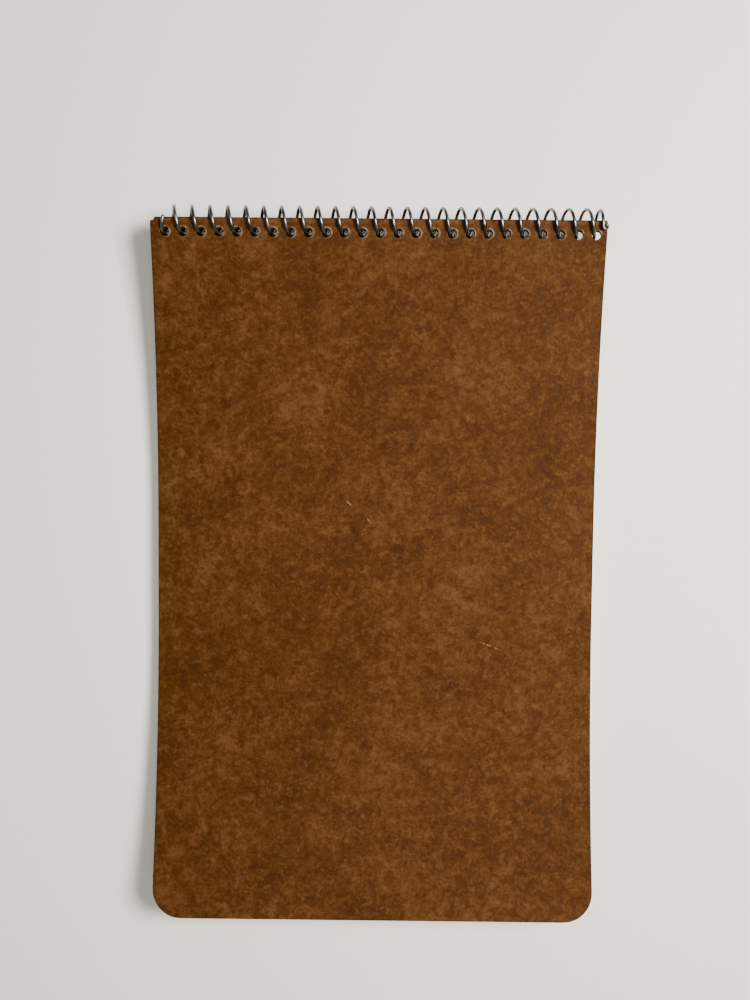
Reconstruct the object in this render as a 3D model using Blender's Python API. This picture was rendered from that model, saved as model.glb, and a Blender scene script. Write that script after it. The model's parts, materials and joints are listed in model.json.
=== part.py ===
"""Pocket notebook, bound across its top edge with one spiral wire.

It lies on its back cover with the front cover up: +X to the reader's right, +Y towards the wire,
+Z out of the front cover. The whole block of leaves is gently bowed, with its middle low, as a
pocket notebook takes a set. Every leaf follows the same bowed line at its own height.

Two directions describe a leaf: "down" is the length along it from the covers' top edge, and
"height" is the distance out from the underside of the back cover.
"""
import math

import bpy

MM = 0.001

# Covers
WIDTH = 127.0 * MM
LENGTH = 203.2 * MM
CORNER_RADIUS = 8.5 * MM
COVER_THICKNESS = 0.60 * MM

# Leaves, in blocks of five sheets
BLOCKS = 10
SHEETS_PER_BLOCK = 5
SHEET_THICKNESS = 0.072 * MM
SHEET_INSET = 0.2 * MM
SHEET_TOP = 1.2 * MM
SHEET_BOTTOM_INSET = 0.3 * MM
AIR_GAP = 0.03 * MM
TURNING_BLOCKS = 5

# Punched holes
HOLES = 25
PITCH = 5.0 * MM
FIRST_HOLE_MARGIN = 4.0 * MM
COVER_HOLE_DOWN = 3.95 * MM
SHEET_HOLE_DOWN = 4.52 * MM
BACK_HOLE_DOWN = 4.02 * MM
COVER_HOLE_RADIUS = 1.30 * MM
INNER_HOLE_RADIUS = 1.40 * MM
COVER_HOLE_SIDES = 8
SHEET_HOLE_SIDES = 6
HOLE_BAND = 1.9 * MM

# Spiral wire
WIRE_RADIUS = 0.46 * MM
COIL_RADIUS = 3.83 * MM
COIL_DOWN = 0.95 * MM
WIRE_IN_HOLE = -0.6 * MM
START_ANGLE = 76.0
LAST_TURN_ANGLE = 100.0
LAST_TURN_ADVANCE = 2.6 * MM
LAST_TURN_EVEN_PAST_REAR = 50.0
STEPS_PER_TURN = 14
WIRE_SIDES = 6

# How far the wire turns in the back half of the notebook, and in the leaves that turn, in degrees
WIRE_TRAVEL_BACK = 100.0
WIRE_TRAVEL_LEAVES = 75.0

# Bowed line
STRAIGHT_TOP = 12.0 * MM
FLAT_MIDDLE = 24.0 * MM
BOW_RADIUS = 370.0 * MM
BOW_STEPS = 7
CORNER_STEPS = 4

SHEET_BLOCK = SHEETS_PER_BLOCK * SHEET_THICKNESS
STACK = 2 * COVER_THICKNESS + BLOCKS * SHEET_BLOCK + (BLOCKS + 1) * AIR_GAP
COIL_HEIGHT = STACK / 2
COIL_OUTER = COIL_RADIUS + WIRE_RADIUS
FIRST_HOLE_X = FIRST_HOLE_MARGIN - WIDTH / 2


def bowed_point(down):
    """Underside of the back cover at a length down from the top edge: its Y, Z and slope."""
    flat_start = (LENGTH - FLAT_MIDDLE) / 2
    flat_end = flat_start + FLAT_MIDDLE
    if flat_start <= down <= flat_end:
        return LENGTH / 2 - down, 0.0, 0.0
    upper = down < flat_start
    run = flat_start - down if upper else down - flat_end
    arc_limit = flat_start - STRAIGHT_TOP if upper else flat_start
    turned = min(run, arc_limit) / BOW_RADIUS
    straight = max(run - arc_limit, 0.0)
    out = BOW_RADIUS * math.sin(turned) + straight * math.cos(turned)
    rise = BOW_RADIUS * (1 - math.cos(turned)) + straight * math.sin(turned)
    side = 1 if upper else -1
    return side * (FLAT_MIDDLE / 2 + out), rise, side * turned


def place_raw(x, down, height):
    y, z, slope = bowed_point(down)
    return x, y - height * math.sin(slope), z + height * math.cos(slope)


def middle_y():
    """Middle of the object's length, from the wire's outer side to the covers' bottom edge."""
    wire_top = place_raw(0.0, COIL_DOWN, COIL_HEIGHT)[1] + COIL_OUTER
    cover_bottom = place_raw(0.0, LENGTH, 0.0)[1]
    return (wire_top + cover_bottom) / 2


MIDDLE_Y = middle_y()


def place(x, down, height):
    """A point of the notebook, with the origin under the middle of the whole object."""
    x, y, z = place_raw(x, down, height)
    return x, y - MIDDLE_Y, z


AXIS_POINT = place(0.0, COIL_DOWN, COIL_HEIGHT)


def crossing_angle(height):
    """Where the wire passes a height on its way down through the leaves, in degrees from its top."""
    return 180.0 - math.degrees(math.asin((height - COIL_HEIGHT) / COIL_RADIUS))


COVER_CROSSING = crossing_angle(STACK - COVER_THICKNESS / 2)


def wire_x(turns_angle):
    """X of the wire at an angle counted through all its turns; it stands left in the first hole."""
    return FIRST_HOLE_X + WIRE_IN_HOLE + PITCH * (turns_angle - COVER_CROSSING) / 360.0


def hole_shift(height, travel):
    """How far right a leaf's holes sit, so that the wire stays inside them while it turns by travel."""
    return wire_x(crossing_angle(height)) + PITCH * travel / 720.0 - FIRST_HOLE_X


def make_material(name, color, roughness, metallic=0.0):
    material = bpy.data.materials.new(name)
    material.use_nodes = True
    shader = material.node_tree.nodes["Principled BSDF"]
    shader.inputs["Base Color"].default_value = (*color, 1.0)
    shader.inputs["Roughness"].default_value = roughness
    shader.inputs["Metallic"].default_value = metallic
    return material


class Outline:
    """Flat drawing of a leaf as points (x, down) and faces that run anticlockwise seen from the front."""

    def __init__(self):
        self.points = []
        self.faces = []

    def point(self, x, down):
        self.points.append((x, down))
        return len(self.points) - 1

    def add_hole_cell(self, corners, center_x, center_down, radius, sides):
        """Fills a cell of four corners, from top right anticlockwise, around one hole."""
        reach = radius / math.cos(math.pi / sides)
        offset = 0.5 if sides % 4 == 0 else 0.0
        rim = []
        quadrants = []
        for index in range(sides):
            angle = 2 * math.pi * (index + offset) / sides
            rim.append(self.point(center_x + reach * math.cos(angle), center_down - reach * math.sin(angle)))
            quadrants.append(int(4 * (index + offset) / sides))
        for index in range(sides):
            following = (index + 1) % sides
            first_corner = corners[quadrants[index]]
            second_corner = corners[quadrants[following]]
            if first_corner == second_corner:
                self.faces.append((first_corner, rim[following], rim[index]))
            else:
                self.faces.append((first_corner, second_corner, rim[following], rim[index]))

    def add_fan(self, row, left, right, upwards):
        """Joins a row of points, left to right, to one left and one right point above or below it."""
        middle = len(row) // 2
        for index in range(len(row) - 1):
            apex = left if index < middle else right
            face = (row[index], row[index + 1], apex)
            self.faces.append(face if upwards else face[::-1])
        face = (row[middle], right, left)
        self.faces.append(face if upwards else face[::-1])

    def solid(self, low, high):
        """Vertices and faces of the closed leaf between two heights."""
        count = len(self.points)
        vertices = [place(x, down, low) for x, down in self.points]
        vertices += [place(x, down, high) for x, down in self.points]
        faces = [tuple(index + count for index in face) for face in self.faces]
        faces += [face[::-1] for face in self.faces]
        edges = set()
        for face in self.faces:
            edges.update(zip(face, face[1:] + face[:1]))
        for start, end in sorted(edges):
            if (end, start) not in edges:
                faces.append((start, end, end + count, start + count))
        return vertices, faces


def half_width(down, inset, bottom):
    """Half the leaf's width at a length down, narrowing round its bottom corners."""
    full = WIDTH / 2 - inset
    into_corner = down - (bottom - CORNER_RADIUS)
    if into_corner <= 0:
        return full
    return full - CORNER_RADIUS + math.sqrt(max(CORNER_RADIUS**2 - into_corner**2, 0.0))


def leaf_rows(bottom):
    """Lengths down at which a leaf below its holes gets a row of points."""
    flat_start = (LENGTH - FLAT_MIDDLE) / 2
    flat_end = flat_start + FLAT_MIDDLE
    corner_start = bottom - CORNER_RADIUS
    rows = []
    for step in range(BOW_STEPS + 1):
        rows.append(STRAIGHT_TOP + (flat_start - STRAIGHT_TOP) * step / BOW_STEPS)
    for step in range(BOW_STEPS + 1):
        rows.append(flat_end + (corner_start - flat_end) * step / BOW_STEPS)
    for step in range(1, CORNER_STEPS + 1):
        rows.append(corner_start + CORNER_RADIUS * math.sin(math.pi / 2 * step / CORNER_STEPS))
    return rows


def leaf_outline(top, bottom, inset, hole_down, shift, radius, sides):
    outline = Outline()
    full = WIDTH / 2 - inset
    centers = [FIRST_HOLE_X + shift + PITCH * hole for hole in range(HOLES)]
    borders = [-full]
    borders += [(left + right) / 2 for left, right in zip(centers, centers[1:])]
    borders.append(full)

    upper = [outline.point(x, hole_down - HOLE_BAND) for x in borders]
    lower = [outline.point(x, hole_down + HOLE_BAND) for x in borders]
    top_left = outline.point(-full, top)
    top_right = outline.point(full, top)
    outline.add_fan(upper, top_left, top_right, upwards=True)
    for hole, center in enumerate(centers):
        corners = (upper[hole + 1], upper[hole], lower[hole], lower[hole + 1])
        outline.add_hole_cell(corners, center, hole_down, radius, sides)

    previous = None
    for down in leaf_rows(bottom):
        half = half_width(down, inset, bottom)
        left = outline.point(-half, down)
        right = outline.point(half, down)
        if previous is None:
            outline.add_fan(lower, left, right, upwards=False)
        else:
            outline.faces.append((previous[0], left, right, previous[1]))
        previous = (left, right)
    return outline


def make_object(name, vertices, faces, material, parent=None):
    """Makes one closed piece. Under a parent empty, its mesh is measured from that empty."""
    if parent is not None:
        base = parent.location
        vertices = [(x - base.x, y - base.y, z - base.z) for x, y, z in vertices]
    mesh = bpy.data.meshes.new(name)
    mesh.from_pydata(vertices, [], faces)
    mesh.materials.append(material)
    mesh.validate()
    piece = bpy.data.objects.new(name, mesh)
    bpy.context.scene.collection.objects.link(piece)
    piece.parent = parent
    return piece


def make_hinge(name):
    hinge = bpy.data.objects.new(name, None)
    hinge.location = AXIS_POINT
    hinge.empty_display_size = WIDTH / 4
    bpy.context.scene.collection.objects.link(hinge)
    return hinge


def make_leaf(name, low, high, outline, material, parent=None):
    vertices, faces = outline.solid(low, high)
    return make_object(name, vertices, faces, material, parent)


def make_cover(name, low, travel, hole_down, radius, material, parent=None):
    high = low + COVER_THICKNESS
    shift = 0.0 if travel is None else hole_shift((low + high) / 2, travel)
    outline = leaf_outline(0.0, LENGTH, 0.0, hole_down, shift, radius, COVER_HOLE_SIDES)
    return make_leaf(name, low, high, outline, material, parent)


def make_sheet_block(number, material, leaves_hinge):
    """One block of sheets; blocks are counted from the front cover, as a reader counts pages."""
    from_back = BLOCKS - number
    low = COVER_THICKNESS + AIR_GAP + from_back * (SHEET_BLOCK + AIR_GAP)
    high = low + SHEET_BLOCK
    turning = number <= TURNING_BLOCKS
    travel = WIRE_TRAVEL_LEAVES if turning else WIRE_TRAVEL_BACK
    shift = hole_shift((low + high) / 2, travel)
    bottom = LENGTH - SHEET_BOTTOM_INSET
    outline = leaf_outline(
        SHEET_TOP, bottom, SHEET_INSET, SHEET_HOLE_DOWN, shift, INNER_HOLE_RADIUS, SHEET_HOLE_SIDES
    )
    last_sheet = number * SHEETS_PER_BLOCK
    first_sheet = last_sheet - SHEETS_PER_BLOCK + 1
    name = f"sheets_{first_sheet:02d}_to_{last_sheet:02d}"
    return make_leaf(name, low, high, outline, material, leaves_hinge if turning else None)


def wire_frame(turns_angle):
    """Middle of the wire at an angle, with its outward direction and the direction across it."""
    last_crossing = COVER_CROSSING + 360.0 * (HOLES - 1)
    past_last_hole = turns_angle - last_crossing
    x = wire_x(turns_angle)
    advance = PITCH / math.radians(360.0)
    arch = 360.0 - COVER_CROSSING + LAST_TURN_ANGLE
    eased_from = 180.0 - COVER_CROSSING + LAST_TURN_EVEN_PAST_REAR
    if past_last_hole > eased_from:
        share = (past_last_hole - eased_from) / (arch - eased_from)
        x = wire_x(last_crossing + eased_from) + share * (LAST_TURN_ADVANCE - PITCH * eased_from / 360.0)
        advance = (LAST_TURN_ADVANCE - PITCH * eased_from / 360.0) / math.radians(arch - eased_from)
    angle = math.radians(turns_angle)
    slope = bowed_point(COIL_DOWN)[2]
    along = (math.cos(slope), math.sin(slope))
    outwards = (-math.sin(slope), math.cos(slope))
    radial = (
        0.0,
        math.cos(angle) * along[0] + math.sin(angle) * outwards[0],
        math.cos(angle) * along[1] + math.sin(angle) * outwards[1],
    )
    turning = (
        -math.sin(angle) * along[0] + math.cos(angle) * outwards[0],
        -math.sin(angle) * along[1] + math.cos(angle) * outwards[1],
    )
    length = math.hypot(advance, COIL_RADIUS)
    across = (
        COIL_RADIUS / length,
        -advance / length * turning[0],
        -advance / length * turning[1],
    )
    middle = (x, AXIS_POINT[1] + COIL_RADIUS * radial[1], AXIS_POINT[2] + COIL_RADIUS * radial[2])
    return middle, radial, across


def make_wire_coil(material, parent):
    """The spiral: it starts beside the first hole and ends in a tight arch past the last one."""
    end_angle = 360.0 * HOLES + LAST_TURN_ANGLE
    steps = round((end_angle - START_ANGLE) / 360.0 * STEPS_PER_TURN)
    vertices = []
    faces = []
    for step in range(steps + 1):
        turns_angle = START_ANGLE + (end_angle - START_ANGLE) * step / steps
        middle, radial, across = wire_frame(turns_angle)
        for side in range(WIRE_SIDES):
            around = 2 * math.pi * side / WIRE_SIDES
            out = WIRE_RADIUS * math.cos(around)
            aside = WIRE_RADIUS * math.sin(around)
            vertices.append(tuple(m + out * r + aside * a for m, r, a in zip(middle, radial, across)))
    for step in range(steps):
        for side in range(WIRE_SIDES):
            near = step * WIRE_SIDES
            far = near + WIRE_SIDES
            following = (side + 1) % WIRE_SIDES
            faces.append((near + side, far + side, far + following, near + following))
    faces.append(tuple(range(WIRE_SIDES)))
    faces.append(tuple(range(steps * WIRE_SIDES, (steps + 1) * WIRE_SIDES))[::-1])
    coil = make_object("wire_coil", vertices, faces, material, parent)
    coil.data.shade_smooth()
    coil.data.set_sharp_from_angle(angle=math.radians(70))
    return coil


def clear_scene():
    for old in list(bpy.data.objects):
        bpy.data.objects.remove(old, do_unlink=True)


def build_notebook():
    pressboard = (0.19, 0.078, 0.023)
    leaves_hinge = make_hinge("leaves_hinge")
    cover_hinge = make_hinge("cover_hinge")

    back_material = make_material("back_pressboard", pressboard, 0.75)
    make_cover("back_cover", 0.0, WIRE_TRAVEL_BACK, BACK_HOLE_DOWN, INNER_HOLE_RADIUS, back_material)
    for number in range(1, BLOCKS + 1):
        paper = make_material(f"paper_{number:02d}", (0.83, 0.80, 0.70), 0.85)
        make_sheet_block(number, paper, leaves_hinge)
    front_low = STACK - COVER_THICKNESS
    front_material = make_material("front_pressboard", pressboard, 0.75)
    make_cover(
        "front_cover", front_low, None, COVER_HOLE_DOWN, COVER_HOLE_RADIUS, front_material, cover_hinge
    )
    steel = make_material("spiral_steel", (0.42, 0.42, 0.43), 0.3, metallic=1.0)
    make_wire_coil(steel, cover_hinge)


clear_scene()
build_notebook()
bpy.context.view_layer.update()
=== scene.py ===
"""Looks of the pocket notebook: pressboard covers, fifty ruled sheets and the spiral wire."""
import json
import math
import random

import bpy
from mathutils import Matrix, Vector


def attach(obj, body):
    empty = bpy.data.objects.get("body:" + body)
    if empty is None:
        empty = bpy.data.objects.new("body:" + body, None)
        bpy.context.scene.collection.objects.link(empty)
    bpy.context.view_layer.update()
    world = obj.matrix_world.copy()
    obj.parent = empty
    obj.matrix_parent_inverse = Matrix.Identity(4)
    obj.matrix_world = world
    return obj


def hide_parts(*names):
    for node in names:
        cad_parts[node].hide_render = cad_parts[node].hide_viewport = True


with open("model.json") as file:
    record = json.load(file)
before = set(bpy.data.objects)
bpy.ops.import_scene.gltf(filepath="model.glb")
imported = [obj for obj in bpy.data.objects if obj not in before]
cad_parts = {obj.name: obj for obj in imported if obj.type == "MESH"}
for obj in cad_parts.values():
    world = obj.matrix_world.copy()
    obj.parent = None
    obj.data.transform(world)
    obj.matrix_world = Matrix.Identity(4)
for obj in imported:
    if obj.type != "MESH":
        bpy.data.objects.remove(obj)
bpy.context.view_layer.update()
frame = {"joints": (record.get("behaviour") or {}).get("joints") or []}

MM = 0.001

# Covers and leaves, as the CAD part has them
WIDTH = 127.0 * MM
LENGTH = 203.2 * MM
CORNER_RADIUS = 8.5 * MM
COVER_THICKNESS = 0.60 * MM
BLOCKS = 10
TURNING_BLOCKS = 5
SHEETS_PER_BLOCK = 5
SHEET_THICKNESS = 0.072 * MM
SHEET_GAP = 0.012 * MM
SHEET_INSET = 0.2 * MM
SHEET_TOP = 1.2 * MM
SHEET_BOTTOM_INSET = 0.3 * MM
AIR_GAP = 0.03 * MM

# Punched holes
HOLES = 25
PITCH = 5.0 * MM
FIRST_HOLE_MARGIN = 4.0 * MM
COVER_HOLE_DOWN = 3.95 * MM
SHEET_HOLE_DOWN = 4.52 * MM
BACK_HOLE_DOWN = 4.02 * MM
COVER_HOLE_RADIUS = 1.30 * MM
INNER_HOLE_RADIUS = 1.40 * MM

# Spiral wire
WIRE_RADIUS = 0.46 * MM
COIL_RADIUS = 3.83 * MM
COIL_DOWN = 0.95 * MM
WIRE_IN_HOLE = -0.6 * MM
WIRE_TRAVEL_BACK = 100.0
WIRE_TRAVEL_LEAVES = 75.0

# Bowed line
STRAIGHT_TOP = 12.0 * MM
FLAT_MIDDLE = 24.0 * MM
BOW_RADIUS = 370.0 * MM

# Width of the covers' margin of painted shade, and the sheets' printed rules: head and foot as shares of the
# length, width as a share of the spacing
EDGE_BAND = 0.5 * MM
RULE_SPACING = 7.1 * MM
RULES_PER_UNIT = LENGTH / RULE_SPACING
RULE_HEAD = 20.0 * MM / LENGTH
RULE_FOOT = 195.0 * MM / LENGTH
RULE_WIDTH = 0.035

# Patterns of the board, in repeats to the metre, and each one's share of the tone
BLOTCHES = 55.0
CLOUDS = 330.0
FLECKS = 620.0
FIBRES = 1150.0
GRAIN = 1500.0
BLOTCH_SHARE = 0.22
CLOUD_SHARE = 0.44
FLECK_SHARE = 0.34

# Places in the pattern that the covers are cut from
FRONT_PATTERN = 0.0
BACK_PATTERN = 0.7

# Direction of each set of fibres, and their length in widths
FIBRE_SETS = ((0.3, 5.0), (1.4, 6.0), (2.4, 5.0))

# Colours. Each tone has its place in the pattern before it
BOARD_TONES = (
    (0.39, (0.034, 0.0100, 0.0004)),
    (0.47, (0.049, 0.0152, 0.0010)),
    (0.53, (0.065, 0.0230, 0.0038)),
    (0.61, (0.090, 0.0375, 0.0115)),
)
DARK_FIBRE = (0.029, 0.0085, 0.0003)
LIGHT_FIBRE = (0.12, 0.056, 0.021)
PALE_SPECK = (0.13, 0.062, 0.019)
WORN_BOARD = (0.30, 0.185, 0.105)
# Painted shade along the covers' sides and top edge
PAINTED_EDGE_SHADE = (0.020, 0.008, 0.003)
CUT_BOARD = (0.035, 0.015, 0.007)
SCRAPED_BOARD = (0.31, 0.185, 0.10)
STEEL_TONES = ((0.3, (0.10, 0.095, 0.095)), (0.7, (0.26, 0.25, 0.25)))
PAPER_TONES = ((0.3, (0.78, 0.735, 0.615)), (0.7, (0.86, 0.825, 0.715)))
RULE_INK = (0.17, 0.32, 0.50)
# Near black painted shade on the paper round each punched hole, standing for the shade inside the holes
HOLE_PAINTED_SHADE = (0.007, 0.005, 0.004)

# Finish of the covers: worn edge, lip round each hole, top left corner, wear along the ends
WORN_EDGE = 0.09 * MM
HOLE_LIP = 0.22 * MM
CLIPPED_CORNER = 0.9 * MM
TOP_EDGE_WEAR = 0.5
UPPER_WEAR = 0.1
BOTTOM_EDGE_WEAR = 0.35
# Side of each hole's lip on the front cover that stands highest and is painted palest: pale worn board with a
# painted highlight towards the light
LIT_LIP_DIRECTION = math.radians(45.0)

# Largest unevenness of the sheets' cut sides, bottom and top
CUT_SIDES = 0.09
CUT_BOTTOM = 0.12
CUT_TOP = 0.08

# Angles past which edges stay sharp or are worn
SHARP_BOARD = 50.0
SHARP_WIRE = 60.0
WORN_ANGLE = 60.0

# Number of steps along and round each shape
COVER_STEPS = 60
SHEET_STEPS = 30
COVER_HOLE_SIDES = 24
SHEET_HOLE_SIDES = 12
WIRE_SIDES = 14

SHEET_BLOCK = SHEETS_PER_BLOCK * SHEET_THICKNESS
STACK = 2 * COVER_THICKNESS + BLOCKS * SHEET_BLOCK + (BLOCKS + 1) * AIR_GAP
COIL_HEIGHT = STACK / 2
FIRST_HOLE_X = FIRST_HOLE_MARGIN - WIDTH / 2
AXIS_POINT = Vector(frame["joints"][0]["pos_m"])

# Studio
LENS = 36.0
CAMERA_TARGET = Vector((-0.0003, 0.0196, 0.005))
CAMERA_DISTANCE = 0.2917
CAMERA_TILT = -0.0546
CAMERA_TURN = 0.004
CAMERA_ROLL = 0.0100
FLOOR_SIZE = 6.0
FLOOR_GAP = 0.0002
FLOOR_COLOR = (0.86, 0.84, 0.78, 1.0)
WORLD_COLOR = (1.0, 0.985, 0.95, 1.0)
WORLD_STRENGTH = 0.12

# Each light's name, place, size, power and colour
LIGHTS = (
    ("key", (0.25, 0.09, 0.44), 0.16, 5.9, (1.0, 0.97, 0.91)),
    ("fill", (0.08, -0.05, 1.0), 0.3, 3.9, (1.0, 0.985, 0.94)),
)


def bowed_point(down):
    """Underside of the back cover at a length down from the top edge: its Y, Z and slope."""
    flat_start = (LENGTH - FLAT_MIDDLE) / 2
    flat_end = flat_start + FLAT_MIDDLE
    if flat_start <= down <= flat_end:
        return LENGTH / 2 - down, 0.0, 0.0
    upper = down < flat_start
    run = flat_start - down if upper else down - flat_end
    arc_limit = flat_start - STRAIGHT_TOP if upper else flat_start
    turned = min(run, arc_limit) / BOW_RADIUS
    straight = max(run - arc_limit, 0.0)
    out = BOW_RADIUS * math.sin(turned) + straight * math.cos(turned)
    rise = BOW_RADIUS * (1 - math.cos(turned)) + straight * math.sin(turned)
    side = 1 if upper else -1
    return side * (FLAT_MIDDLE / 2 + out), rise, side * turned


def place_raw(x, down, height):
    y, z, slope = bowed_point(down)
    return Vector((x, y - height * math.sin(slope), z + height * math.cos(slope)))


SHIFT = AXIS_POINT - place_raw(0.0, COIL_DOWN, COIL_HEIGHT)


def place(x, down, height):
    """A point of the notebook in the shared frame."""
    return place_raw(x, down, height) + SHIFT


def crossing_angle(height):
    return 180.0 - math.degrees(math.asin((height - COIL_HEIGHT) / COIL_RADIUS))


COVER_CROSSING = crossing_angle(STACK - COVER_THICKNESS / 2)


def wire_x(turns_angle):
    return FIRST_HOLE_X + WIRE_IN_HOLE + PITCH * (turns_angle - COVER_CROSSING) / 360.0


def hole_shift(height, travel):
    return wire_x(crossing_angle(height)) + PITCH * travel / 720.0 - FIRST_HOLE_X


# ---------------------------------------------------------------- materials


class Nodes:
    """Short hand for building one material's nodes."""

    def __init__(self, name):
        self.material = bpy.data.materials.new(name)
        self.material.use_nodes = True
        self.tree = self.material.node_tree
        self.shader = self.tree.nodes["Principled BSDF"]

    def add(self, kind, **settings):
        node = self.tree.nodes.new(kind)
        for key, value in settings.items():
            setattr(node, key, value)
        return node

    def link(self, source, target):
        self.tree.links.new(source, target)

    def coordinates(self, scale=(1.0, 1.0, 1.0), turn=0.0, place_at=(0.0, 0.0, 0.0), output="Object"):
        """Coordinates turned, then divided by scale, so a pattern is as long as its scale says."""
        source = self.add("ShaderNodeTexCoord")
        mapping = self.add("ShaderNodeMapping", vector_type="TEXTURE")
        mapping.inputs["Location"].default_value = place_at
        mapping.inputs["Scale"].default_value = scale
        mapping.inputs["Rotation"].default_value = (0.0, 0.0, turn)
        self.link(source.outputs[output], mapping.inputs["Vector"])
        return mapping.outputs["Vector"]

    def noise(self, vector, scale, detail=2.0, roughness=0.5, distortion=0.0):
        node = self.add("ShaderNodeTexNoise")
        node.inputs["Scale"].default_value = scale
        node.inputs["Detail"].default_value = detail
        node.inputs["Roughness"].default_value = roughness
        node.inputs["Distortion"].default_value = distortion
        self.link(vector, node.inputs["Vector"])
        return node.outputs["Fac"]

    def ramp(self, factor, stops):
        node = self.add("ShaderNodeValToRGB")
        elements = node.color_ramp.elements
        while len(elements) < len(stops):
            elements.new(0.5)
        for element, (position, color) in zip(elements, stops):
            element.position = position
            element.color = (*color, 1.0)
        self.link(factor, node.inputs["Fac"])
        return node.outputs["Color"]

    def span(self, factor, low, high, to_low=0.0, to_high=1.0):
        node = self.add("ShaderNodeMapRange")
        node.inputs["From Min"].default_value = low
        node.inputs["From Max"].default_value = high
        node.inputs["To Min"].default_value = to_low
        node.inputs["To Max"].default_value = to_high
        self.link(factor, node.inputs["Value"])
        return node.outputs["Result"]

    def math(self, operation, first, second):
        node = self.add("ShaderNodeMath", operation=operation)
        for socket, value in zip(node.inputs, (first, second)):
            if isinstance(value, (int, float)):
                socket.default_value = value
            else:
                self.link(value, socket)
        return node.outputs["Value"]

    def mix(self, factor, first, second, blend="MIX"):
        node = self.add("ShaderNodeMix", data_type="RGBA", blend_type=blend)
        sockets = (node.inputs["Factor"], node.inputs[6], node.inputs[7])
        for socket, value in zip(sockets, (factor, first, second)):
            if isinstance(value, (int, float)):
                socket.default_value = value
            elif isinstance(value, tuple):
                socket.default_value = (*value, 1.0)
            else:
                self.link(value, socket)
        return node.outputs[2]

    def bump(self, height, strength, distance):
        node = self.add("ShaderNodeBump")
        node.inputs["Strength"].default_value = strength
        node.inputs["Distance"].default_value = distance
        self.link(height, node.inputs["Height"])
        self.link(node.outputs["Normal"], self.shader.inputs["Normal"])


def add_scratch(n, color, middle, half_length, half_width, turn):
    """One short pale scrape in the cover's surface, broken up along its length."""
    scale = (half_length, half_width, 1.0)
    vector = n.coordinates(scale=scale, turn=turn, place_at=(*middle, 0.0))
    length = n.add("ShaderNodeVectorMath", operation="LENGTH")
    n.link(vector, length.inputs[0])
    broken = n.span(n.noise(n.coordinates(), 1700.0, detail=2.0), 0.42, 0.55)
    inside = n.span(length.outputs["Value"], 1.0, 0.5)
    return n.mix(n.math("MULTIPLY", inside, broken), color, SCRAPED_BOARD)


def painted_edge_shade_mask(n):
    """Margin of painted shade along the cover's sides and top, from the sheet coordinates."""
    split = n.add("ShaderNodeSeparateXYZ")
    n.link(n.coordinates(output="UV"), split.inputs["Vector"])
    from_middle = n.math("ABSOLUTE", n.math("SUBTRACT", split.outputs["X"], 0.5), 0.0)
    sides = n.span(from_middle, (WIDTH / 2 - EDGE_BAND) / LENGTH, WIDTH / 2 / LENGTH, 0.0, 0.85)
    top = n.span(split.outputs["Y"], EDGE_BAND / LENGTH, 0.0, 0.0, 0.85)
    return n.math("MAXIMUM", sides, top)


def pressboard(name, seed, scratches=()):
    """Mottled brown pressboard: soft blotches, short dark and light fibres, worn pale edges."""
    n = Nodes(name)
    base = n.coordinates(place_at=(seed, seed, 0.0))
    blotches = n.noise(base, BLOTCHES, detail=3.0, roughness=0.55)
    clouds = n.noise(base, CLOUDS, detail=5.0, roughness=0.68, distortion=0.5)
    flecks = n.noise(base, FLECKS, detail=3.0, roughness=0.6, distortion=1.2)
    grain = n.noise(base, GRAIN, detail=3.0, roughness=0.7)
    level = n.math("ADD", n.math("MULTIPLY", blotches, BLOTCH_SHARE), n.math("MULTIPLY", clouds, CLOUD_SHARE))
    level = n.math("ADD", level, n.math("MULTIPLY", flecks, FLECK_SHARE))
    color = n.ramp(level, BOARD_TONES)
    fibre_sum = None
    for turn, length in FIBRE_SETS:
        vector = n.coordinates(scale=(length, 1.0, 1.0), turn=turn, place_at=(seed, 0.0, 0.0))
        strand = n.noise(vector, FIBRES, detail=2.0, roughness=0.6, distortion=0.6)
        fibre_sum = strand if fibre_sum is None else n.math("ADD", fibre_sum, strand)
    dark_fibres = n.span(fibre_sum, 1.38, 1.12, 0.0, 0.50)
    light_fibres = n.span(fibre_sum, 1.62, 1.90, 0.0, 0.42)
    color = n.mix(dark_fibres, color, DARK_FIBRE)
    color = n.mix(light_fibres, color, LIGHT_FIBRE)
    specks = n.span(grain, 0.60, 0.72, 0.0, 0.20)
    color = n.mix(specks, color, PALE_SPECK)
    for scratch in scratches:
        color = add_scratch(n, color, *scratch)
    # Pale worn board along the ends, and a painted highlight on the lit side of each hole's lip
    wear_and_painted_light = n.add("ShaderNodeAttribute", attribute_name="wear_and_painted_light")
    wear_noise = n.span(n.noise(base, 700.0, detail=4.0), 0.38, 0.60)
    color = n.mix(n.math("MULTIPLY", wear_and_painted_light.outputs["Fac"], wear_noise), color, WORN_BOARD)
    # Painted shade in a thin margin along the cover's sides and top
    color = n.mix(painted_edge_shade_mask(n), color, PAINTED_EDGE_SHADE)
    edge = n.add("ShaderNodeAttribute", attribute_name="cut_edge")
    color = n.mix(n.math("MULTIPLY", edge.outputs["Fac"], 0.8), color, CUT_BOARD)
    n.link(color, n.shader.inputs["Base Color"])
    n.link(n.span(clouds, 0.3, 0.7, 0.52, 0.70), n.shader.inputs["Roughness"])
    n.shader.inputs["Specular IOR Level"].default_value = 0.05
    relief = n.math("ADD", n.math("MULTIPLY", grain, 0.5), n.math("MULTIPLY", fibre_sum, 0.25))
    n.bump(relief, 0.3, 0.00005)
    return n.material


def steel():
    """Drawn steel wire with fine lengthwise grain and a few dull patches."""
    n = Nodes("visual_steel")
    base = n.coordinates()
    dull = n.noise(base, 350.0, detail=4.0, roughness=0.6)
    fine = n.noise(base, 2600.0, detail=2.0)
    color = n.ramp(dull, STEEL_TONES)
    n.link(color, n.shader.inputs["Base Color"])
    n.link(n.span(dull, 0.3, 0.7, 0.24, 0.42), n.shader.inputs["Roughness"])
    n.shader.inputs["Metallic"].default_value = 1.0
    n.bump(fine, 0.2, 0.00002)
    return n.material


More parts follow.
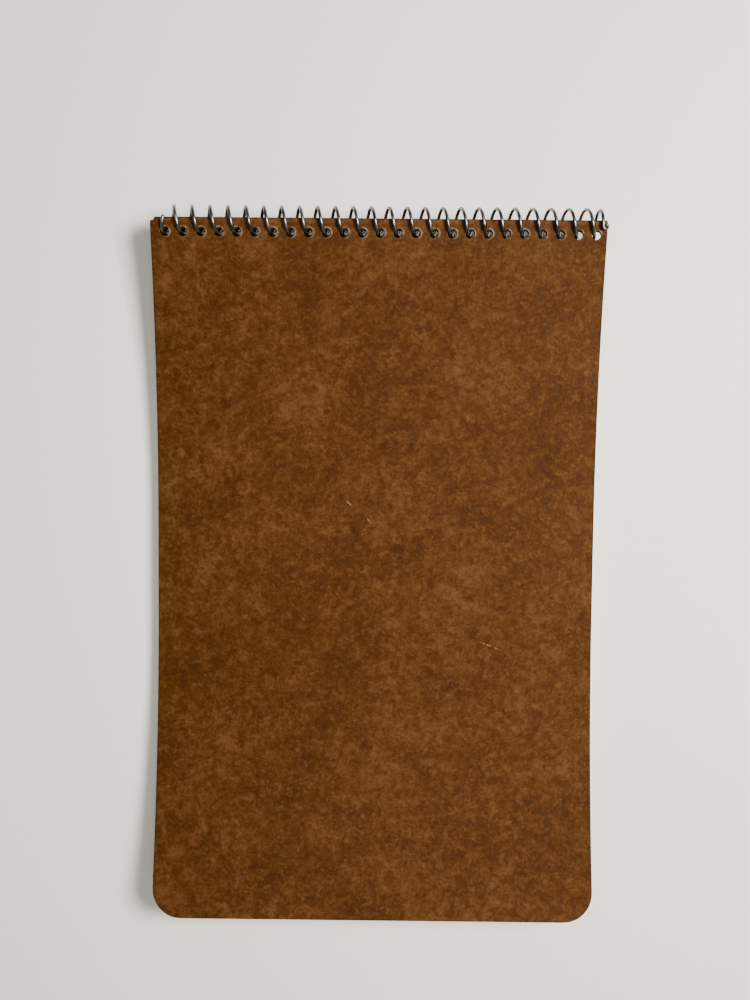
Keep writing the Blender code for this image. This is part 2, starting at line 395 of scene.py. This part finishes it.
def paper():
    """Cream writing paper: faint blue rules across the sheet, soft cloudy formation."""
    n = Nodes("visual_paper")
    flat = n.coordinates(output="UV")
    base = n.coordinates()
    formation = n.noise(base, 420.0, detail=4.0, roughness=0.6)
    color = n.ramp(formation, PAPER_TONES)
    split = n.add("ShaderNodeSeparateXYZ")
    n.link(flat, split.inputs["Vector"])
    rows = n.math("FRACT", n.math("MULTIPLY", split.outputs["Y"], RULES_PER_UNIT), 0.0)
    line = n.math("LESS_THAN", rows, RULE_WIDTH)
    below_head = n.math("GREATER_THAN", split.outputs["Y"], RULE_HEAD)
    above_foot = n.math("LESS_THAN", split.outputs["Y"], RULE_FOOT)
    ruled = n.math("MULTIPLY", line, n.math("MULTIPLY", below_head, above_foot))
    ink = n.span(formation, 0.3, 0.7, 0.30, 0.52)
    color = n.mix(n.math("MULTIPLY", ruled, ink), color, RULE_INK)
    # Painted shade: near black paper round each punched hole
    painted_hole_shade = n.add("ShaderNodeAttribute", attribute_name="wear_and_painted_light")
    color = n.mix(painted_hole_shade.outputs["Fac"], color, HOLE_PAINTED_SHADE)
    n.link(color, n.shader.inputs["Base Color"])
    n.link(n.span(formation, 0.3, 0.7, 0.78, 0.9), n.shader.inputs["Roughness"])
    n.shader.inputs["Specular IOR Level"].default_value = 0.2
    n.bump(n.noise(base, 1500.0, detail=3.0), 0.15, 0.00003)
    return n.material


# ---------------------------------------------------------------- leaves


# Rings round a hole, from the outside in: width beyond the hole, share of the lip's height, wear (pale worn
# board with painted highlight on the cover's lip, painted shade on the sheets)
RIM_PROFILE = ((0.62 * MM, 0.0, 0.0), (0.36 * MM, 0.40, 0.25), (0.17 * MM, 1.0, 1.0), (0.0, 0.45, 0.9))
# Painted shade round the sheets' holes: a narrow ring on the top sheet of each pile, a wide ring on the
# hidden sheets
HOLE_SHADE_PROFILE = ((0.62 * MM, 0.0, 0.0), (0.42 * MM, 0.0, 1.0), (0.0, 0.0, 1.0))
INNER_HOLE_SHADE_PROFILE = ((0.80 * MM, 0.0, 1.0), (0.60 * MM, 0.0, 1.0), (0.0, 0.0, 1.0))


class Leaf:
    """Flat drawing of a leaf: points (x, down, lift) and faces, anticlockwise seen from the front."""

    def __init__(self):
        self.points = []
        self.faces = []
        self.wear_and_painted_light = {}

    def point(self, x, down, lift=0.0, wear_and_painted_light=0.0):
        self.points.append((x, down, lift))
        self.wear_and_painted_light[len(self.points) - 1] = wear_and_painted_light
        return len(self.points) - 1

    def ring_cell(self, corners, rings):
        """Joins a cell's four corners to the outermost ring, and each ring to the next inside it."""
        outer = rings[0]
        sides = len(outer)
        for index in range(sides):
            following = (index + 1) % sides
            first = corners[int(4 * (index + 0.5) / sides)]
            second = corners[int(4 * (following + 0.5) / sides)]
            if first == second:
                self.faces.append((first, outer[following], outer[index]))
            else:
                self.faces.append((first, second, outer[following], outer[index]))
        for wide, narrow in zip(rings, rings[1:]):
            for index in range(sides):
                following = (index + 1) % sides
                self.faces.append((wide[index], wide[following], narrow[following], narrow[index]))

    def strip(self, upper, lower):
        """Joins two rows of points with the same count, left to right, by four-sided faces."""
        for index in range(len(upper) - 1):
            self.faces.append((upper[index], lower[index], lower[index + 1], upper[index + 1]))


def half_width(down, inset, top, bottom, top_radius):
    full = WIDTH / 2 - inset
    into_bottom = down - (bottom - CORNER_RADIUS)
    into_top = top + top_radius - down
    if into_bottom > 0:
        return full - CORNER_RADIUS + math.sqrt(max(CORNER_RADIUS**2 - into_bottom**2, 0.0))
    if into_top > 0:
        return full - top_radius + math.sqrt(max(top_radius**2 - into_top**2, 0.0))
    return full


def draw_leaf(
    top, bottom, inset, hole_down, shift, radius, sides, rim, length_steps,
    corner_drop=0.0, profile=HOLE_SHADE_PROFILE,
):
    """A leaf with its punched row. rim is the height of the raised lip that punching leaves."""
    leaf = Leaf()
    top_radius = 0.7 * MM
    band = 2.1 * MM
    full = WIDTH / 2 - inset
    centers = [FIRST_HOLE_X + shift + PITCH * hole for hole in range(HOLES)]
    borders = [-full] + [(a + b) / 2 for a, b in zip(centers, centers[1:])] + [full]

    def row(down, wear_and_painted_light=0.0):
        half = half_width(down, inset, top, bottom, top_radius)
        row_wear = wear_and_painted_light if rim else 0.0
        left_drop = corner_drop * max(1 - (down - top) / (hole_down - band - top), 0.0)
        downs = [down + left_drop] + [down] * (len(borders) - 1)
        return [leaf.point(x * half / full, low, wear_and_painted_light=row_wear) for x, low in zip(borders, downs)]

    top_steps = 3
    rows = []
    for step in range(top_steps + 1):
        drop = top_radius * (1 - math.cos(math.pi / 2 * step / top_steps))
        rows.append(row(top + drop, wear_and_painted_light=UPPER_WEAR if step else TOP_EDGE_WEAR))
    upper = row(hole_down - band)
    lower = row(hole_down + band)
    rows.append(upper)
    for first, second in zip(rows, rows[1:]):
        leaf.strip(first, second)
    for hole, center in enumerate(centers):
        rings = []
        for out, share, wear_and_painted_light in profile:
            ring = []
            for index in range(sides):
                angle = 2 * math.pi * (index + 0.5) / sides
                # On the cover the lip rises and is painted pale towards the lit side only: painted highlight
                # over worn board
                side_share = 0.5 + 0.5 * math.cos(angle - LIT_LIP_DIRECTION) if rim else 1.0
                reach = radius + out
                x = center + reach * math.cos(angle)
                down = hole_down - reach * math.sin(angle)
                ring.append(leaf.point(x, down, rim * share * side_share, wear_and_painted_light * side_share))
            rings.append(ring)
        corners = (upper[hole + 1], upper[hole], lower[hole], lower[hole + 1])
        leaf.ring_cell(corners, rings)

    previous = lower
    corner_start = bottom - CORNER_RADIUS
    for step in range(length_steps + 1):
        down = STRAIGHT_TOP + (corner_start - STRAIGHT_TOP) * step / length_steps
        current = row(down)
        leaf.strip(previous, current)
        previous = current
    corner_steps = 10
    for step in range(1, corner_steps + 1):
        down = corner_start + CORNER_RADIUS * math.sin(math.pi / 2 * step / corner_steps)
        current = row(down, wear_and_painted_light=BOTTOM_EDGE_WEAR if step == corner_steps else 0.0)
        leaf.strip(previous, current)
        previous = current
    return leaf


def leaf_solid(leaf, low, high):
    """Closed solid of a leaf: vertices, faces, sheet coordinates, wear and painted light for each vertex,
    count of walls.
    """
    count = len(leaf.points)
    vertices = [place(x, down, low) for x, down, _lift in leaf.points]
    vertices += [place(x, down, high + lift) for x, down, lift in leaf.points]
    faces = [tuple(index + count for index in face) for face in leaf.faces]
    faces += [face[::-1] for face in leaf.faces]
    edges = set()
    for face in leaf.faces:
        edges.update(zip(face, face[1:] + face[:1]))
    walls = [(a, b, b + count, a + count) for a, b in sorted(edges) if (b, a) not in edges]
    flat = [(x / LENGTH + 0.5, down / LENGTH) for x, down, _lift in leaf.points] * 2
    wear_and_painted_light = [leaf.wear_and_painted_light[index] for index in range(count)] * 2
    return vertices, faces + walls, flat, wear_and_painted_light, len(walls)


def finish_piece(name, parts, material, body, replaced, bevel):
    """One object from several closed solids, with its sheet coordinates, wear and painted light, and smooth
    shading.
    """
    vertices = []
    faces = []
    flat = []
    wear_and_painted_light = []
    wall_faces = set()
    for part_vertices, part_faces, part_flat, part_wear, wall_count in parts:
        base = len(vertices)
        vertices += part_vertices
        flat += part_flat
        wear_and_painted_light += part_wear
        faces += [tuple(index + base for index in face) for face in part_faces]
        wall_faces.update(range(len(faces) - wall_count, len(faces)))
    mesh = bpy.data.meshes.new(name)
    mesh.from_pydata(vertices, [], faces)
    layer = mesh.uv_layers.new(name="sheet")
    for loop in mesh.loops:
        layer.data[loop.index].uv = flat[loop.vertex_index]
    wear_layer = mesh.attributes.new("wear_and_painted_light", "FLOAT", "POINT")
    wear_layer.data.foreach_set("value", wear_and_painted_light)
    edge_layer = mesh.attributes.new("cut_edge", "FLOAT", "FACE")
    edge_layer.data.foreach_set("value", [1.0 if index in wall_faces else 0.0 for index in range(len(faces))])
    mesh.materials.append(material)
    mesh.shade_smooth()
    mesh.set_sharp_from_angle(angle=math.radians(SHARP_BOARD))
    piece = bpy.data.objects.new(name, mesh)
    bpy.context.scene.collection.objects.link(piece)
    if bevel:
        modifier = piece.modifiers.new("worn_edge", "BEVEL")
        modifier.width = bevel
        modifier.segments = 2
        modifier.limit_method = "ANGLE"
        modifier.angle_limit = math.radians(WORN_ANGLE)
        modifier.harden_normals = True
    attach(piece, body)
    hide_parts(replaced)
    return piece


# Pale scrapes on the front cover: middle (X, Y), half length, half width, direction
SCRATCHES = (
    ((-0.0078, 0.0185), 0.0013, 0.00022, -0.7),
    ((-0.0020, 0.0135), 0.0011, 0.00020, -0.9),
    ((0.0340, -0.0230), 0.0040, 0.00013, -0.35),
)


def make_covers():
    front = draw_leaf(
        0.0, LENGTH, 0.0, COVER_HOLE_DOWN, 0.0, COVER_HOLE_RADIUS, COVER_HOLE_SIDES, HOLE_LIP, COVER_STEPS,
        corner_drop=CLIPPED_CORNER, profile=RIM_PROFILE,
    )
    front_solid = leaf_solid(front, STACK - COVER_THICKNESS, STACK)
    front_board = pressboard("front_board", FRONT_PATTERN, SCRATCHES)
    finish_piece(
        "front_cover_board", [front_solid], front_board, "front", "front_cover", WORN_EDGE
    )
    shift = hole_shift(COVER_THICKNESS / 2, WIRE_TRAVEL_BACK)
    back = draw_leaf(
        0.0, LENGTH, 0.0, BACK_HOLE_DOWN, shift, INNER_HOLE_RADIUS, COVER_HOLE_SIDES, 0.0, COVER_STEPS
    )
    back_solid = leaf_solid(back, 0.0, COVER_THICKNESS)
    back_board = pressboard("back_board", BACK_PATTERN)
    finish_piece(
        "back_cover_board", [back_solid], back_board, "pad", "back_cover", WORN_EDGE
    )


def make_sheets():
    """Fifty separate sheets, five to a piece, each cut a touch unevenly."""
    cut = random.Random(8)
    material = paper()
    for number in range(1, BLOCKS + 1):
        block_low = COVER_THICKNESS + AIR_GAP + (BLOCKS - number) * (SHEET_BLOCK + AIR_GAP)
        turning = number <= TURNING_BLOCKS
        travel = WIRE_TRAVEL_LEAVES if turning else WIRE_TRAVEL_BACK
        shift = hole_shift(block_low + SHEET_BLOCK / 2, travel)
        solids = []
        for sheet in range(SHEETS_PER_BLOCK):
            inset = SHEET_INSET + cut.uniform(0.0, CUT_SIDES) * MM
            bottom = LENGTH - SHEET_BOTTOM_INSET - cut.uniform(0.0, CUT_BOTTOM) * MM
            top = SHEET_TOP + cut.uniform(0.0, CUT_TOP) * MM
            # The top sheet of each pile gets the narrow ring of painted shade round its holes, the hidden
            # sheets the wide one
            uppermost = sheet == SHEETS_PER_BLOCK - 1 and number in (1, TURNING_BLOCKS + 1)
            profile = HOLE_SHADE_PROFILE if uppermost else INNER_HOLE_SHADE_PROFILE
            leaf = draw_leaf(
                top, bottom, inset, SHEET_HOLE_DOWN, shift, INNER_HOLE_RADIUS, SHEET_HOLE_SIDES, 0.0,
                SHEET_STEPS, profile=profile,
            )
            low = block_low + sheet * SHEET_THICKNESS + SHEET_GAP / 2
            solids.append(leaf_solid(leaf, low, low + SHEET_THICKNESS - SHEET_GAP))
        first = (number - 1) * SHEETS_PER_BLOCK + 1
        node = f"sheets_{first:02d}_to_{first + SHEETS_PER_BLOCK - 1:02d}"
        body = "upper_leaves" if turning else "pad"
        finish_piece(f"ruled_{node}", solids, material, body, node, 0.0)


# ---------------------------------------------------------------- wire


def coil_point(turns_angle, radius=COIL_RADIUS, x=None):
    """A point round the coil's axis, in the tilted plane of the notebook's top."""
    slope = bowed_point(COIL_DOWN)[2]
    angle = math.radians(turns_angle)
    along = radius * math.cos(angle)
    out = radius * math.sin(angle)
    y = AXIS_POINT.y + along * math.cos(slope) - out * math.sin(slope)
    z = AXIS_POINT.z + along * math.sin(slope) + out * math.cos(slope)
    return Vector((wire_x(turns_angle) if x is None else x, y, z))


def wire_path():
    """The wire from the stub beside the first hole to the crimped curl past the last one."""
    steps_per_turn = 40
    start = 72.0
    even_past_last_hole = 90.0
    last_crossing = COVER_CROSSING + 360.0 * (HOLES - 1)
    even_until = last_crossing + even_past_last_hole
    stub_steps = 12
    stub_swing = 0.55 * MM
    path = []
    for step in range(stub_steps):
        share = step / stub_steps
        angle = start + (COVER_CROSSING - start) * share
        path.append(coil_point(angle, x=wire_x(COVER_CROSSING) + stub_swing * (1 - share) ** 2))
    steps = round((even_until - COVER_CROSSING) / 360.0 * steps_per_turn)
    for step in range(steps + 1):
        path.append(coil_point(COVER_CROSSING + (even_until - COVER_CROSSING) * step / steps))
    last_turn_angle = 100.0
    last_turn_advance = 2.1 * MM
    last_turn_narrowing = 0.06
    arch_end = 360.0 * HOLES + last_turn_angle
    arch_steps = 36
    x_from = wire_x(even_until)
    x_to = wire_x(last_crossing) + last_turn_advance
    for step in range(1, arch_steps + 1):
        share = step / arch_steps
        angle = even_until + (arch_end - even_until) * share
        smaller = COIL_RADIUS * (1 - last_turn_narrowing * math.sin(math.pi * share))
        path.append(coil_point(angle, smaller, x_from + (x_to - x_from) * share))
    curl_radius = 0.56 * MM
    curl_lift = 0.25 * MM
    curl_steps = 14
    curl_turn = 1.35 * math.pi
    for step in range(1, curl_steps + 1):
        around = curl_turn * step / curl_steps
        x = x_to + curl_radius * (1 - math.cos(around))
        drop = curl_radius * math.sin(around)
        angle = arch_end + math.degrees(drop / COIL_RADIUS)
        lift = curl_lift * step / curl_steps
        path.append(coil_point(angle, COIL_RADIUS + lift, x))
    return path


def sweep(path, radius, sides):
    """Closed round tube along a path, with a slightly rounded cut at each end."""
    tangents = []
    for index in range(len(path)):
        before = path[max(index - 1, 0)]
        after = path[min(index + 1, len(path) - 1)]
        tangents.append((after - before).normalized())
    side = Vector((1.0, 0.0, 0.0))
    rings = []
    nip = ((-0.5, 0.72), (0.0, 1.0))
    stations = [(path[0] + tangents[0] * radius * back, tangents[0], scale) for back, scale in nip]
    stations += [(point, tangent, 1.0) for point, tangent in zip(path[1:-1], tangents[1:-1])]
    stations += [(path[-1] - tangents[-1] * radius * back, tangents[-1], scale) for back, scale in nip[::-1]]
    vertices = []
    for middle, tangent, scale in stations:
        side = (side - tangent * side.dot(tangent)).normalized()
        other = tangent.cross(side)
        ring = []
        for index in range(sides):
            angle = 2 * math.pi * index / sides
            offset = (side * math.cos(angle) + other * math.sin(angle)) * radius * scale
            ring.append(len(vertices))
            vertices.append(middle + offset)
        rings.append(ring)
    faces = [tuple(rings[0][::-1]), tuple(rings[-1])]
    for near, far in zip(rings, rings[1:]):
        for index in range(sides):
            following = (index + 1) % sides
            faces.append((near[index], near[following], far[following], far[index]))
    return vertices, faces


def make_wire():
    vertices, faces = sweep(wire_path(), WIRE_RADIUS, WIRE_SIDES)
    mesh = bpy.data.meshes.new("spiral_wire")
    mesh.from_pydata(vertices, [], faces)
    mesh.materials.append(steel())
    mesh.shade_smooth()
    mesh.set_sharp_from_angle(angle=math.radians(SHARP_WIRE))
    wire = bpy.data.objects.new("spiral_wire", mesh)
    bpy.context.scene.collection.objects.link(wire)
    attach(wire, "front")
    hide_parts("wire_coil")


# ---------------------------------------------------------------- studio


def make_floor():
    bpy.ops.mesh.primitive_plane_add(size=FLOOR_SIZE, location=(0.0, 0.0, -FLOOR_GAP))
    floor = bpy.context.object
    floor.name = "floor"
    n = Nodes("pale_floor")
    n.shader.inputs["Base Color"].default_value = FLOOR_COLOR
    n.shader.inputs["Roughness"].default_value = 0.9
    n.shader.inputs["Specular IOR Level"].default_value = 0.1
    floor.data.materials.append(n.material)


def add_light(name, location, size, power, color):
    data = bpy.data.lights.new(name, "AREA")
    data.size = size
    data.energy = power
    data.color = color
    lamp = bpy.data.objects.new(name, data)
    lamp.location = location
    lamp.rotation_euler = (-Vector(location)).to_track_quat("-Z", "Y").to_euler()
    bpy.context.scene.collection.objects.link(lamp)


def make_studio():
    make_floor()
    for light in LIGHTS:
        add_light(*light)
    world = bpy.data.worlds.new("studio")
    world.use_nodes = True
    world.node_tree.nodes["Background"].inputs["Color"].default_value = WORLD_COLOR
    world.node_tree.nodes["Background"].inputs["Strength"].default_value = WORLD_STRENGTH
    bpy.context.scene.world = world

    data = bpy.data.cameras.new("camera")
    data.lens = LENS
    data.clip_start = 0.01
    camera = bpy.data.objects.new("camera", data)
    turn = Matrix.Rotation(CAMERA_TURN, 4, "Y")
    tilt = Matrix.Rotation(CAMERA_TILT, 4, "X")
    roll = Matrix.Rotation(CAMERA_ROLL, 4, "Z")
    away = Matrix.Translation((0.0, 0.0, CAMERA_DISTANCE))
    camera.matrix_world = Matrix.Translation(CAMERA_TARGET) @ turn @ tilt @ roll @ away
    bpy.context.scene.collection.objects.link(camera)
    bpy.context.scene.camera = camera


make_covers()
make_sheets()
make_wire()
make_studio()

bpy.context.view_layer.update()
